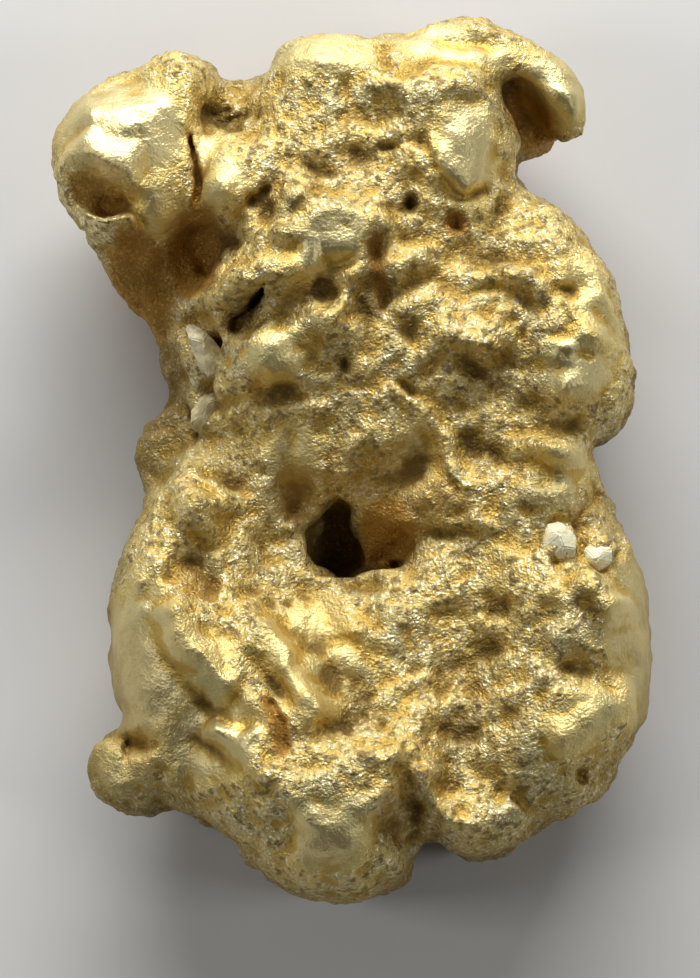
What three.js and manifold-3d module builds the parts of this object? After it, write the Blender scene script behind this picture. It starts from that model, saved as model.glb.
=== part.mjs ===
// A water-worn nugget of native gold, lying on its back, with grains of quartz locked in its pits.
// Millimetres, +Z up: X runs across the nugget, Y along it, and its rough face looks up.
//
// The gold is one lump. It is described as a field that is negative inside: soft ellipsoidal lumps
// that flow together, less the hollows that stones and water left. A surface net turns the field
// into triangles, and a flat is worn across the back, which the nugget rests on.

import * as THREE from "three";
import { mergeVertices } from "three/addons/utils/BufferGeometryUtils.js";
import Module from "manifold-3d";

// Driving dimensions, in millimetres
const CELL = 1.1; // edge of a cell of the surface net
const LUMP_BLEND = 0.7; // how softly lumps flow into each other
const HOLLOW_BLEND = 0.6; // how softly the rim of a hollow is rounded
const WORN_FLAT = 0.9; // height that wear took off the back
const SEARCH = { low: [-18.5, -26.5, -1.5], high: [18.5, 26.5, 18.5] }; // box that holds the gold
const SHORTEST_EDGE = 0.01; // slivers thinner than this, left by the cuts, are smoothed away
const SEAT_GAP = 0.38; // how much larger the seat of a grain is than the grain, on each half size

const GOLD = new THREE.MeshStandardMaterial({ color: 0xb79a52, metalness: 1, roughness: 0.42 });
const MILKY = new THREE.MeshStandardMaterial({ color: 0xd9d6b0, metalness: 0, roughness: 0.5 });
const GREY = new THREE.MeshStandardMaterial({ color: 0x9c9a84, metalness: 0, roughness: 0.6 });

const wasm = await Module();
wasm.setup();

// One ellipsoid of the field: its middle, its three half sizes and its turn about Z in degrees.
function blob(x, y, z, rx, ry, rz, turn = 0) {
  const angle = THREE.MathUtils.degToRad(turn);
  return { x, y, z, rx, ry, rz, cos: Math.cos(angle), sin: Math.sin(angle) };
}

// Distance to a blob, close to true near its surface.
function distanceTo(b, x, y, z) {
  const dx = x - b.x;
  const dy = y - b.y;
  const u = (dx * b.cos + dy * b.sin) / b.rx;
  const v = (dy * b.cos - dx * b.sin) / b.ry;
  const w = (z - b.z) / b.rz;
  const reach = Math.hypot(u, v, w);
  const slope = Math.hypot(u / b.rx, v / b.ry, w / b.rz);
  return slope < 1e-9 ? -Math.min(b.rx, b.ry, b.rz) : (reach * (reach - 1)) / slope;
}

const LUMPS = [
  // Broad core of the lower half, its haunches and the saddle at the waist
  blob(0.8, -8.8, 5.9, 12.4, 11.0, 5.8),
  blob(10.8, -9.3, 6.9, 5.7, 8.3, 6.1, 3),
  blob(9.6, -14.3, 6.6, 5.2, 4.9, 5.7, 24),
  blob(-9.5, -8.5, 6.6, 4.2, 8.8, 6.0, -4),
  blob(1.4, 2.8, 6.2, 9.8, 9.2, 5.4),
  blob(10.5, -1.5, 7.2, 3.2, 3.6, 5.2, 20),
  // V-shaped ridge that rims the lower basin
  blob(-7.2, -9.6, 8.6, 1.9, 4.8, 4.8, 24),
  blob(-4.4, -14.8, 8.8, 2.0, 4.4, 4.8, 34),
  blob(-0.6, -17.6, 8.6, 3.2, 2.2, 5.0, -10),
  blob(3.2, -15.2, 8.2, 2.4, 3.4, 4.9, -34),
  // Toes along the lower end
  blob(-1.2, -20.8, 6.2, 4.4, 3.3, 5.0, -6),
  blob(-6.1, -17.2, 6.6, 4.8, 3.1, 5.0, -30),
  blob(7.3, -19.5, 5.8, 2.8, 2.0, 3.8, 24),
  blob(-12.1, -16.5, 6.6, 2.6, 2.5, 2.9),
  // Chest, the fold that crosses it and the low flank at its left
  blob(1.2, 8.6, 6.6, 9.2, 7.4, 6.2),
  blob(-2.6, 11.6, 9.2, 6.2, 2.4, 5.0, 26),
  blob(-4.0, 5.8, 8.4, 4.0, 2.8, 4.2, 20),
  blob(5.6, 7.6, 8.0, 5.0, 4.8, 5.0),
  blob(-11.2, 12.0, 5.2, 2.8, 2.9, 3.8, 30),
  blob(-8.8, 7.2, 4.8, 2.2, 4.4, 3.8, 14),
  blob(-9.9, 1.6, 4.6, 1.9, 2.6, 2.6, -20),
  // Right shoulder
  blob(11.6, 7.0, 7.4, 3.4, 5.8, 5.8, 12),
  blob(12.9, 4.1, 6.8, 2.1, 1.8, 4.0),
  blob(11.7, 9.9, 7.2, 2.3, 3.0, 4.8, 12),
  blob(9.9, 12.4, 7.4, 2.7, 2.7, 4.8),
  // Head: its mass, the tongue of its forehead, the round knob and the crest that ends in a curl
  blob(3.6, 17.6, 7.6, 5.8, 6.0, 5.8),
  blob(5.6, 16.8, 8.6, 2.4, 5.6, 5.0, -6),
  blob(-1.4, 17.0, 7.2, 5.4, 5.2, 5.8),
  blob(-1.9, 21.8, 8.6, 3.0, 2.8, 4.2),
  blob(2.0, 21.8, 7.8, 3.2, 2.4, 4.4),
  blob(5.9, 23.1, 7.4, 3.2, 2.5, 4.2),
  blob(8.7, 22.7, 8.6, 1.9, 1.5, 2.2, -20),
  blob(10.6, 21.6, 8.9, 1.8, 1.5, 1.7, -38),
  blob(11.6, 19.9, 8.8, 1.3, 2.1, 1.5, 8),
  blob(9.2, 20.2, 5.4, 2.4, 2.6, 1.6),
  // Ball at the upper left, with the bead on its top and the lip under it
  blob(-12.7, 17.6, 8.2, 4.2, 4.6, 5.0),
  blob(-10.2, 20.8, 8.6, 2.3, 2.7, 4.0),
  blob(-11.8, 14.4, 7.6, 3.3, 2.2, 3.4),
  // Block across the crack from the ball, and the low neck above it
  blob(-6.5, 15.7, 8.0, 2.8, 2.9, 5.4),
  blob(-6.2, 19.8, 5.6, 3.8, 2.3, 3.6),
  blob(-8.6, 12.6, 4.6, 3.0, 3.6, 3.6),
];

const HOLLOWS = [
  // Hole through the top of the lower half, its side pocket and the funnel above it
  blob(-1.0, -4.2, 11.0, 1.7, 2.0, 7.4, 20),
  blob(2.0, -4.6, 11.0, 1.6, 1.2, 4.4),
  blob(-0.4, -0.6, 14.6, 3.2, 4.0, 4.0),
  // Notch between the curl and the shoulder, and the scoop under the curl
  blob(11.2, 16.8, 8.0, 2.5, 1.5, 20.0, -10),
  blob(9.4, 20.3, 10.8, 1.2, 2.2, 3.6, 35),
  // Pocket below the ball's inner edge, and the gap above it
  blob(-9.0, 12.2, 12.6, 1.4, 1.7, 5.2),
  blob(-7.3, 19.6, 11.0, 1.6, 1.1, 3.2),
  // Notch between the two toes, and the nick beside the little toe
  blob(4.8, -22.4, 6.0, 1.0, 1.8, 20.0),
  blob(-13.2, -13.8, 8.0, 1.5, 0.6, 20.0, -10),
  // Basin in the lower half, and the dent beside it
  blob(-1.6, -10.6, 15.0, 3.2, 4.2, 4.4, 14),
  blob(-8.8, -4.2, 14.4, 2.0, 1.9, 3.2),
  // Waist nicks on both sides
  blob(-13.4, 4.3, 8.0, 3.2, 0.9, 20.0, 26),
  blob(14.9, 1.2, 8.0, 1.8, 0.9, 20.0, 20),
];

// Grains of quartz that the gold grew around: two milky ones high on the right haunch, and two grey
// slivers of a vein at the left of the waist.
const GRAINS = [
  { name: "quartz_grain_large", stone: MILKY, at: [11.2, -4.5, 11.9], half: [0.75, 0.95, 0.65], turn: 20 },
  { name: "quartz_grain_small", stone: MILKY, at: [13.3, -5.2, 11.2], half: [0.6, 0.7, 0.6], turn: -30 },
  { name: "quartz_sliver_upper", stone: GREY, at: [-8.3, 6.4, 9.0], half: [0.7, 1.6, 0.7], turn: 23 },
  { name: "quartz_sliver_lower", stone: GREY, at: [-8.4, 3.2, 8.3], half: [0.6, 1.1, 0.7], turn: -15 },
];

// Field of the gold at a point: negative inside.
function goldField(x, y, z) {
  let sum = 0;
  for (const lump of LUMPS) sum += Math.exp(-distanceTo(lump, x, y, z) / LUMP_BLEND);
  let value = -LUMP_BLEND * Math.log(sum);
  for (const hollow of HOLLOWS) {
    const cut = -distanceTo(hollow, x, y, z);
    const overlap = Math.max(HOLLOW_BLEND - Math.abs(value - cut), 0);
    value = Math.max(value, cut) + (overlap * overlap) / (4 * HOLLOW_BLEND);
  }
  return value;
}

// The corners of a cell are numbered by bits: 1 is one step along X, 2 along Y and 4 along Z.
const CORNERS = [0, 1, 2, 3, 4, 5, 6, 7].map((c) => [c & 1, (c >> 1) & 1, (c >> 2) & 1]);
const CELL_FACES = [0, 1, 2].flatMap((axis) =>
  [0, 1 << axis].map((start) => {
    const u = 1 << ((axis + 1) % 3);
    const v = 1 << ((axis + 2) % 3);
    return [start, start | u, start | u | v, start | v];
  }),
);
const edgeName = (a, b) => 8 * Math.min(a, b) + Math.max(a, b);

// The closed loops of cell edges where the surface passes through a cell. On each face of the cell
// the two edges that bound a run of inside corners follow each other, so that sheets never touch.
function loopsOf(inside) {
  const partners = new Map();
  const link = (a, b) => partners.set(a, [...(partners.get(a) ?? []), b]);
  for (const face of CELL_FACES) {
    for (let n = 0; n < 4; n++) {
      if (inside[face[n]] || !inside[face[(n + 1) % 4]]) continue;
      let m = n + 1;
      while (inside[face[(m + 1) % 4]]) m++;
      const enters = edgeName(face[n], face[(n + 1) % 4]);
      const leaves = edgeName(face[m % 4], face[(m + 1) % 4]);
      link(enters, leaves);
      link(leaves, enters);
    }
  }
  const seen = new Set();
  const loops = [];
  for (const first of partners.keys()) {
    const loop = [];
    let edge = seen.has(first) ? undefined : first;
    while (edge !== undefined) {
      seen.add(edge);
      loop.push(edge);
      edge = partners.get(edge).find((other) => !seen.has(other));
    }
    if (loop.length) loops.push(loop);
  }
  return loops;
}

// A surface net: one vertex for each loop of a cell that the surface crosses, and one face across
// each crossed edge. The vertices are then slid along the field's slope until they lie on the surface.
function surfaceNet(field, { low, high }, cell) {
  const count = low.map((start, axis) => Math.ceil((high[axis] - start) / cell) + 1);
  const step = [1, count[0], count[0] * count[1]];
  const place = (i, axis) => low[axis] + i * cell;
  const values = new Float64Array(count[0] * count[1] * count[2]);
  for (let k = 0; k < count[2]; k++) {
    for (let j = 0; j < count[1]; j++) {
      for (let i = 0; i < count[0]; i++) {
        values[i + j * step[1] + k * step[2]] = field(place(i, 0), place(j, 1), place(k, 2));
      }
    }
  }

  const positions = [];
  const vertexOf = new Map();
  const offset = CORNERS.map(([i, j, k]) => i + j * step[1] + k * step[2]);
  for (let k = 0; k + 1 < count[2]; k++) {
    for (let j = 0; j + 1 < count[1]; j++) {
      for (let i = 0; i + 1 < count[0]; i++) {
        const at = i + j * step[1] + k * step[2];
        const corner = offset.map((o) => values[at + o]);
        for (const loop of loopsOf(corner.map((value) => value < 0))) {
          const sum = [0, 0, 0];
          for (const edge of loop) {
            const [a, b] = [edge >> 3, edge & 7];
            const share = corner[a] / (corner[a] - corner[b]);
            for (let axis = 0; axis < 3; axis++) {
              sum[axis] += CORNERS[a][axis] + share * (CORNERS[b][axis] - CORNERS[a][axis]);
            }
            vertexOf.set(64 * at + edge, positions.length / 3);
          }
          positions.push(...[i, j, k].map((n, axis) => place(n + sum[axis] / loop.length, axis)));
        }
      }
    }
  }

  const faces = [];
  for (let at = 0; at < values.length; at++) {
    for (let axis = 0; axis < 3; axis++) {
      const inside = values[at] < 0;
      if (at + step[axis] >= values.length || inside === values[at + step[axis]] < 0) continue;
      const [u, v] = [(axis + 1) % 3, (axis + 2) % 3];
      const ring = [[0, 0], [1, 0], [1, 1], [0, 1]].map(([du, dv]) => {
        const from = (du << u) | (dv << v);
        const edge = edgeName(from, from | (1 << axis));
        return vertexOf.get(64 * (at - du * step[u] - dv * step[v]) + edge);
      });
      if (ring.includes(undefined)) continue;
      faces.push(inside ? ring : ring.reverse());
    }
  }
  return { positions: slideOntoSurface(positions, field, cell), faces };
}

function slideOntoSurface(positions, field, cell) {
  const probe = cell * 0.05;
  const furthest = cell * 0.3;
  return Array.from({ length: positions.length / 3 }, (_, n) => {
    const p = positions.slice(3 * n, 3 * n + 3);
    const here = field(...p);
    const slope = [0, 1, 2].map((axis) => {
      const beyond = [...p];
      beyond[axis] += probe;
      return (field(...beyond) - here) / probe;
    });
    const steepness = Math.max(Math.hypot(...slope), 0.5);
    const move = THREE.MathUtils.clamp(here / steepness, -furthest, furthest);
    return p.map((value, axis) => value - (move * slope[axis]) / steepness);
  }).flat();
}

// Each four-sided face is split along its shorter diagonal.
function netGeometry({ positions, faces }) {
  const point = (n) => new THREE.Vector3(...positions.slice(3 * n, 3 * n + 3));
  const index = faces.flatMap(([a, b, c, d]) =>
    point(a).distanceTo(point(c)) < point(b).distanceTo(point(d))
      ? [a, b, c, a, c, d]
      : [a, b, d, b, c, d],
  );
  const geometry = new THREE.BufferGeometry();
  geometry.setAttribute("position", new THREE.Float32BufferAttribute(positions, 3));
  geometry.setIndex(index);
  return geometry;
}

function solidFrom(geometry) {
  const bare = geometry.clone();
  bare.deleteAttribute("normal");
  bare.deleteAttribute("uv");
  const merged = mergeVertices(bare);
  return new wasm.Manifold(
    new wasm.Mesh({
      numProp: 3,
      vertProperties: merged.attributes.position.array,
      triVerts: new Uint32Array(merged.index.array),
    }),
  );
}

function geometryFrom(solid) {
  const { vertProperties, triVerts } = solid.getMesh();
  const geometry = new THREE.BufferGeometry();
  geometry.setAttribute("position", new THREE.BufferAttribute(vertProperties, 3));
  geometry.setIndex(new THREE.BufferAttribute(triVerts, 1));
  return geometry;
}

// A rough twelve-sided grain, larger than its half sizes by a margin
function grainGeometry({ half, turn }, margin = 0) {
  const geometry = new THREE.DodecahedronGeometry(1);
  geometry.scale(...half.map((size) => size + margin));
  return geometry.rotateZ(THREE.MathUtils.degToRad(turn));
}

function makeGrain(grain) {
  const mesh = new THREE.Mesh(grainGeometry(grain), grain.stone);
  mesh.name = grain.name;
  mesh.position.set(...grain.at);
  return mesh;
}

// The gold, with a seat cut for each grain and the back worn flat
function makeGold() {
  const lump = solidFrom(netGeometry(surfaceNet(goldField, SEARCH, CELL)));
  const [width, length, depth] = SEARCH.high.map((end, axis) => end - SEARCH.low[axis]);
  const grindstone = new THREE.BoxGeometry(width, length, depth);
  grindstone.translate(0, 0, WORN_FLAT - depth / 2);
  const cutters = [grindstone, ...GRAINS.map((g) => grainGeometry(g, SEAT_GAP).translate(...g.at))];
  const cut = cutters.reduce((gold, cutter) => gold.subtract(solidFrom(cutter)), lump);
  const mesh = new THREE.Mesh(geometryFrom(cut.simplify(SHORTEST_EDGE)), GOLD);
  mesh.name = "gold_nugget";
  return mesh;
}

const nugget = new THREE.Group();
nugget.add(makeGold(), ...GRAINS.map(makeGrain));

// The origin is the middle of the nugget's footprint, on the surface it rests on.
const box = new THREE.Box3().setFromObject(nugget);
const middle = box.getCenter(new THREE.Vector3());
nugget.position.set(-middle.x, -middle.y, -box.min.z);

export default nugget;
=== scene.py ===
# %% [markdown]
# # A gold nugget
# A nugget is a single lump of native gold that a river rolled until its high spots shone and its
# hollows kept their grain. The construction model gives its size, its lumps and its holes. This
# script keeps that shape and adds what the eye looks for: folds, lips, pits, grain and colour.

# %% Load the frame
import math

import bmesh
import bpy
import numpy as np
import openvdb as vdb
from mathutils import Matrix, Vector


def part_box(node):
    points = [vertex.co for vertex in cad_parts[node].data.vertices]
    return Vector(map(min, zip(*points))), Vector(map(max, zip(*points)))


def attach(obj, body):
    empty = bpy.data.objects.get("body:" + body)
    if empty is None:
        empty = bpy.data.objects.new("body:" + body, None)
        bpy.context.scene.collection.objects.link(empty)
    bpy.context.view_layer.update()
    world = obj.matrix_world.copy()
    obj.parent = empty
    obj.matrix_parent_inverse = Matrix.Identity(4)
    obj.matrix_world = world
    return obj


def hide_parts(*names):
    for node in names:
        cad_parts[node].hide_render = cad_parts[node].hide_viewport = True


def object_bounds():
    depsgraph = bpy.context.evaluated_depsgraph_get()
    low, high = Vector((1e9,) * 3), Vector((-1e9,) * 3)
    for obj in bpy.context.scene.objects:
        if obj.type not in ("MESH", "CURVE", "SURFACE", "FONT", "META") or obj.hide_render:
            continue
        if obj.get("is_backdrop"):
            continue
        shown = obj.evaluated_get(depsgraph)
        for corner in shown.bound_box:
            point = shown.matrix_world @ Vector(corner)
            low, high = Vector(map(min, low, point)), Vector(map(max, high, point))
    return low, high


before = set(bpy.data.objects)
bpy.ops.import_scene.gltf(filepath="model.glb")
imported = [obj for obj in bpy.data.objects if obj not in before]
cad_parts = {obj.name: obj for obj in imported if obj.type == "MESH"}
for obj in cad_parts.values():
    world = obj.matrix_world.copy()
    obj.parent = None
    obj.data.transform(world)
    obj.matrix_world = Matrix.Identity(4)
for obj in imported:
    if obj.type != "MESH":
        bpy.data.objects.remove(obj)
cad_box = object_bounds()
MM = 0.001  # one millimetre, in the metres that Blender works in
LOW, HIGH = (np.array(corner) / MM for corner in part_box("gold_nugget"))
print("gold, mm:", np.round(HIGH - LOW, 2))

# %% [markdown]
# ## A block of distances to carve in
# A sculptor needs clay that can be pushed, cut and blurred without tangling. A mesh tangles, but a
# block of voxels that each store their distance to the surface doesn't: adding to the distance
# wears the gold away, and taking from it builds the gold up. OpenVDB fills the block from the
# construction mesh, and numpy does the carving.

# %% From the mesh to distances
VOXEL = 0.18  # mm
BAND = 18  # voxels on each side of the surface that store a true distance
MARGIN = 1.1  # mm of empty voxels round the gold


def merged_triangles(node):
    """The node's corners in mm, with equal ones shared, and its triangles."""
    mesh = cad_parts[node].data
    mesh.calc_loop_triangles()
    points = np.empty(len(mesh.vertices) * 3, np.float32)
    mesh.vertices.foreach_get("co", points)
    triangles = np.empty(len(mesh.loop_triangles) * 3, np.int32)
    mesh.loop_triangles.foreach_get("vertices", triangles)
    shared, where = np.unique(np.round(points.reshape(-1, 3) / MM, 4), axis=0, return_inverse=True)
    triangles = where.reshape(-1)[triangles].reshape(-1, 3)
    return shared.astype(np.float32), triangles.astype(np.uint32)


def distances(node, first, shape):
    """The signed distance to the node's surface in mm, negative inside, for each voxel."""
    points, triangles = merged_triangles(node)
    grid = vdb.FloatGrid.createLevelSetFromPolygons(
        points,
        triangles=triangles,
        transform=vdb.createLinearTransform(voxelSize=VOXEL),
        halfWidth=BAND,
    )
    block = np.empty(shape, np.float32)
    grid.copyToArray(block, ijk=tuple(int(i) for i in first))
    return block


first_voxel = np.floor((LOW - MARGIN) / VOXEL).astype(int)
shape = tuple(np.ceil((HIGH + MARGIN) / VOXEL).astype(int) - first_voxel + 1)
gold = distances("gold_nugget", first_voxel, shape)
X, Y, Z = (VOXEL * (first_voxel[axis] + np.arange(shape[axis])) for axis in range(3))
print("voxels:", shape, "of", VOXEL, "mm")

# %% [markdown]
# ## Blur away the facets
# The construction mesh has a few thousand flat facets, and gold rolled by a river has none. A
# Subdivision Surface modifier would round them too, but would keep their pattern as faint dimples.
# A Gaussian blur of the distances melts them away and leaves the lumps, which are far larger.

# %% Soften the block
FACET_BLUR = 0.55  # mm


def blurred(block, radius):
    """A Gaussian blur of a block or a map, radius in mm."""
    reach = math.ceil(3 * radius / VOXEL)
    steps = np.arange(-reach, reach + 1)
    weights = np.exp(-0.5 * (steps * VOXEL / radius) ** 2)
    weights /= weights.sum()
    for axis in range(block.ndim):
        ends = [(reach, reach) if a == axis else (0, 0) for a in range(block.ndim)]
        padded = np.pad(block, ends, mode="edge")
        length = block.shape[axis]
        block = sum(
            weight * padded.take(range(n, n + length), axis=axis) for n, weight in enumerate(weights)
        ).astype(np.float32)
    return block


gold = blurred(gold, FACET_BLUR)
print("softened, solid voxels:", int((gold < 0).sum()))

# %% [markdown]
# ## Smooth random hills
# Nothing on a nugget is straight or round. Random values on a coarse lattice, blended smoothly
# between its points, give hills and hollows of one chosen size. They bend every stroke a little
# here, and they give the metal its spongy skin later.

# %% Random hills, and the coordinates they bend
WIDE_BEND, WIDE_SPACING = 0.16, 1.6
FINE_BEND, FINE_SPACING = 0.09, 0.7


def random_block(spacing, seed, size):
    """Random hills and hollows about a spacing apart in mm, with mean 0 and spread 1."""
    cells = [math.ceil(n * VOXEL / spacing) + 4 for n in size]
    values = np.random.default_rng(seed).standard_normal(cells).astype(np.float32)
    for axis, n in enumerate(size):
        place = np.arange(n) * VOXEL / spacing
        cell = place.astype(int)
        t = place - cell
        # the four weights of a cubic B-spline, each times six
        pulls = [(1 - t) ** 3, 3 * t**3 - 6 * t**2 + 4, 3 * (t + t**2 - t**3) + 1, t**3]
        weights = np.zeros((n, values.shape[axis]), np.float32)
        for k, pull in enumerate(pulls):
            weights[np.arange(n), cell + k] = pull / 6
        values = np.moveaxis(np.tensordot(weights, values, (1, axis)), 0, axis)
    return ((values - values.mean()) / values.std()).astype(np.float32)


def bent(coordinates, seed):
    """The map's coordinates, bent by wide hills and then by fine ones."""
    wide = WIDE_BEND * random_block(WIDE_SPACING, seed, shape[:2])
    fine = FINE_BEND * random_block(FINE_SPACING, seed + 1, shape[:2])
    return coordinates + wide + fine


BENT_X = bent(X[:, None], 21)
BENT_Y = bent(Y[None, :], 23)
print("strokes bend by up to", round(float(np.abs(BENT_X - X[:, None]).max()), 2), "mm")

# %% [markdown]
# ## Strokes that push the surface up and down
# The face that looks up is full of folds, lips and basins. They are drawn as strokes on a map of
# rises, seen from above: a mound or dent has a middle and two half sizes, a ridge or groove
# follows a line of points, and a lip is high on the left of its line and low on its right, as
# where one fold of metal laps over another. Sculpting by brush would do it too, but a stroke that is
# written down can be moved by a tenth of a millimetre, and drawn again the same on every run.

# %% A map of rises, and its round strokes
BEND_ROOM = 0.6  # mm, more than the coordinates are bent by
ROUNDING = 1.5  # the power that shapes a mound: 1 is a dome with a sharp foot, 2 a bell
rises = np.zeros(shape[:2], np.float32)


def around(points, reach):
    """The part of the map near some points, and the bent coordinates of it."""
    xs, ys = zip(*points)
    reach += BEND_ROOM
    along_x = slice(*np.searchsorted(X, (min(xs) - reach, max(xs) + reach)))
    along_y = slice(*np.searchsorted(Y, (min(ys) - reach, max(ys) + reach)))
    place = (along_x, along_y)
    return place, BENT_X[place], BENT_Y[place]


def eased(share):
    """Goes from 0 to 1 with a soft start and a soft end."""
    share = np.clip(share, 0, 1)
    return share * share * (3 - 2 * share)


def turned(u, v, turn):
    """Coordinates along axes turned by so many degrees."""
    c, s = math.cos(math.radians(turn)), math.sin(math.radians(turn))
    return u * c + v * s, v * c - u * s


def mound(x, y, half_x, half_y, rise, turn=0):
    """A rounded rise, or a dent when rise is negative."""
    place, u, v = around([(x, y)], max(half_x, half_y))
    across, along = turned(u - x, v - y, turn)
    share = np.clip(1 - (across / half_x) ** 2 - (along / half_y) ** 2, 0, 1)
    rises[place] += rise * share**ROUNDING


print("map of rises:", rises.shape)

# %% [markdown]
# ## Strokes along a line
# Folds, cracks and torn edges are long. A line of a few points, rounded by a spline that passes
# through each of them, gives the way of such a stroke; the distance to the nearest stretch of the
# line gives its cross-section. Both ends fade out, because no fold on a nugget stops at a wall.

# %% Ridges, grooves and lips
SHARPNESS = 1.6  # the power that shapes a sharp ridge


def curved(points, per_span=5):
    """A smooth curve through the points of a stroke."""
    p = np.array([points[0], *points, points[-1]], float)
    t = np.linspace(0, 1, per_span, endpoint=False)[:, None]
    spans = [
        # the Catmull-Rom spline
        0.5 * (2 * b + (c - a) * t + (2 * a - 5 * b + 4 * c - d) * t**2 + (3 * b - a - 3 * c + d) * t**3)
        for a, b, c, d in zip(p, p[1:], p[2:], p[3:])
    ]
    return [tuple(q) for q in np.concatenate([*spans, p[-1:]])]


def nearest(points, u, v):
    """Distance to a line of points, the side it is on (left is 1) and how far along it lies."""
    steps = np.diff(np.array(points), axis=0)
    lengths = np.hypot(*steps.T)
    best, side, along = (np.full(u.shape, start) for start in (np.inf, 0.0, 0.0))
    for n, ((ax, ay), (dx, dy)) in enumerate(zip(points, steps)):
        share = np.clip(((u - ax) * dx + (v - ay) * dy) / lengths[n] ** 2, 0, 1)
        distance = np.hypot(u - ax - share * dx, v - ay - share * dy)
        closer = distance < best
        best[closer] = distance[closer]
        side[closer] = np.sign(dx * (v - ay) - dy * (u - ax))[closer]
        along[closer] = (lengths[:n].sum() + share * lengths[n])[closer] / lengths.sum()
    return best, side, along


def tapered(along, ends):
    """Fades a stroke in and out over a share of its length."""
    return eased(along / ends) * eased((1 - along) / ends)


def ridge(points, half_width, rise, ends=0.2, sharp=False):
    """A ridge along a line, or a groove when rise is negative."""
    points = curved(points)
    place, u, v = around(points, half_width)
    distance, _, along = nearest(points, u, v)
    share = np.clip(1 - distance / half_width, 0, 1)
    profile = share**SHARPNESS if sharp else eased(share)
    rises[place] += rise * profile * tapered(along, ends)


def lip(points, rise, reach, drop=0.0, drop_reach=0.5, ends=0.2):
    """A step along a line: raised by rise on its left and sunk by drop on its right."""
    points = curved(points)
    place, u, v = around(points, max(reach, drop_reach))
    distance, side, along = nearest(points, u, v)
    high = rise * np.clip(1 - distance / reach, 0, 1) ** ROUNDING
    low = -drop * np.clip(1 - distance / drop_reach, 0, 1) ** ROUNDING
    rises[place] += np.where(side > 0, high, low) * tapered(along, ends)


def tell(part):
    """Prints how far the map goes up and down after a part is drawn."""
    print(part + ": rises from", round(float(rises.min()), 2), "to", round(float(rises.max()), 2), "mm")


tell("empty map")

# %% [markdown]
# ## The ball
# The head of the nugget is several lumps pressed against each other. The ball at its left is rubbed
# almost smooth. It has a crest across its lower half, a straight, sharp edge along a crack, and a
# torn ledge below. The round base comes from the block, so that only these need strokes.

# %% Strokes of the ball
ridge([(-16.2, 16.8), (-14.8, 15.6), (-13.0, 15.0), (-11.4, 15.0)], 2.4, 0.8, ends=0.12)
mound(-12.0, 20.4, 3.2, 1.7, -0.85, 20)
mound(-14.8, 18.6, 1.1, 0.8, 0.35, 35)
mound(-12.4, 17.6, 1.4, 0.5, 0.2, -10)
ridge([(-9.3, 21.6), (-9.15, 19.6), (-9.3, 17.8)], 0.5, 0.4)
lip([(-9.15, 18.0), (-9.2, 16.2), (-9.3, 14.2), (-9.4, 12.6)], 0.3, 1.2, ends=0.12)
mound(-14.2, 14.5, 2.9, 1.5, -2.3, -14)
mound(-15.1, 15.0, 0.6, 0.45, -0.5, 20)
mound(-13.9, 14.1, 0.6, 0.45, -0.5, -15)
mound(-12.7, 13.9, 0.5, 0.6, -0.7, 10)
ridge([(-15.6, 13.3), (-14.2, 12.7), (-13.0, 12.5), (-12.0, 12.6)], 0.9, 2.4, ends=0.1)
ridge([(-15.2, 12.6), (-13.8, 12.0), (-12.4, 12.1)], 0.4, 0.4)
mound(-10.8, 13.6, 1.3, 1.6, 0.7, -8)
mound(-10.6, 13.6, 0.4, 0.5, -0.3)
mound(-11.7, 18.6, 0.3, 0.3, -0.3)
tell("ball")

# %% [markdown]
# ## The neck and the block beside the crack
# Between the ball and the knob the gold is low and torn open, with thin bars across the gap. The
# bars could be wires of their own, but they grew as one with the lump, so they are narrow ridges
# between small dents. The block is the lump on the other side of the crack.

# %% Strokes of the neck and the block
mound(-8.0, 19.8, 0.5, 0.4, -0.4)
mound(-7.6, 18.4, 0.8, 0.45, -0.5, 15)
mound(-6.0, 18.2, 0.6, 0.5, -0.4)
ridge([(-8.6, 19.1), (-7.4, 19.3), (-6.2, 19.2)], 0.3, 0.7)
ridge([(-7.2, 20.3), (-6.4, 19.6), (-6.0, 18.8)], 0.3, 0.5)
mound(-6.7, 17.5, 0.5, 0.35, 0.4)
ridge([(-4.2, 19.7), (-4.1, 18.6), (-4.3, 17.4)], 0.45, 0.5)
# Block across the crack
mound(-7.6, 13.8, 1.9, 1.5, 1.0, 5)
mound(-5.2, 12.3, 1.5, 1.4, 0.9)
ridge([(-8.4, 18.4), (-7.0, 18.5), (-5.2, 18.2)], 0.7, 0.8)
mound(-5.0, 14.2, 0.5, 0.4, -0.5)
mound(-5.9, 14.0, 0.4, 0.4, -0.4)
ridge([(-6.4, 12.1), (-7.6, 11.0), (-8.8, 10.2)], 1.2, -0.6)
tell("neck and block")

# %% [markdown]
# ## The knob, the forehead and the crest
# At the top stands a knob, and right of it a crest rolls over a shallow groove. Below both, the
# forehead is a bar above a sunken, pitted field, and ends in a smooth tongue. The tongue laps
# over the chest, so it is drawn with a lip: high inside its line, low outside.

# %% Strokes of the knob, the forehead and the crest
# Knob, with its bright left side
ridge([(-4.1, 22.3), (-4.2, 20.4)], 0.5, 0.3)
mound(-1.8, 21.6, 2.0, 0.7, 0.3, -4)
mound(-0.3, 20.3, 0.4, 0.4, -0.3)
ridge([(1.8, 23.0), (1.7, 21.8), (2.2, 20.9)], 0.6, -0.45)
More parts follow.
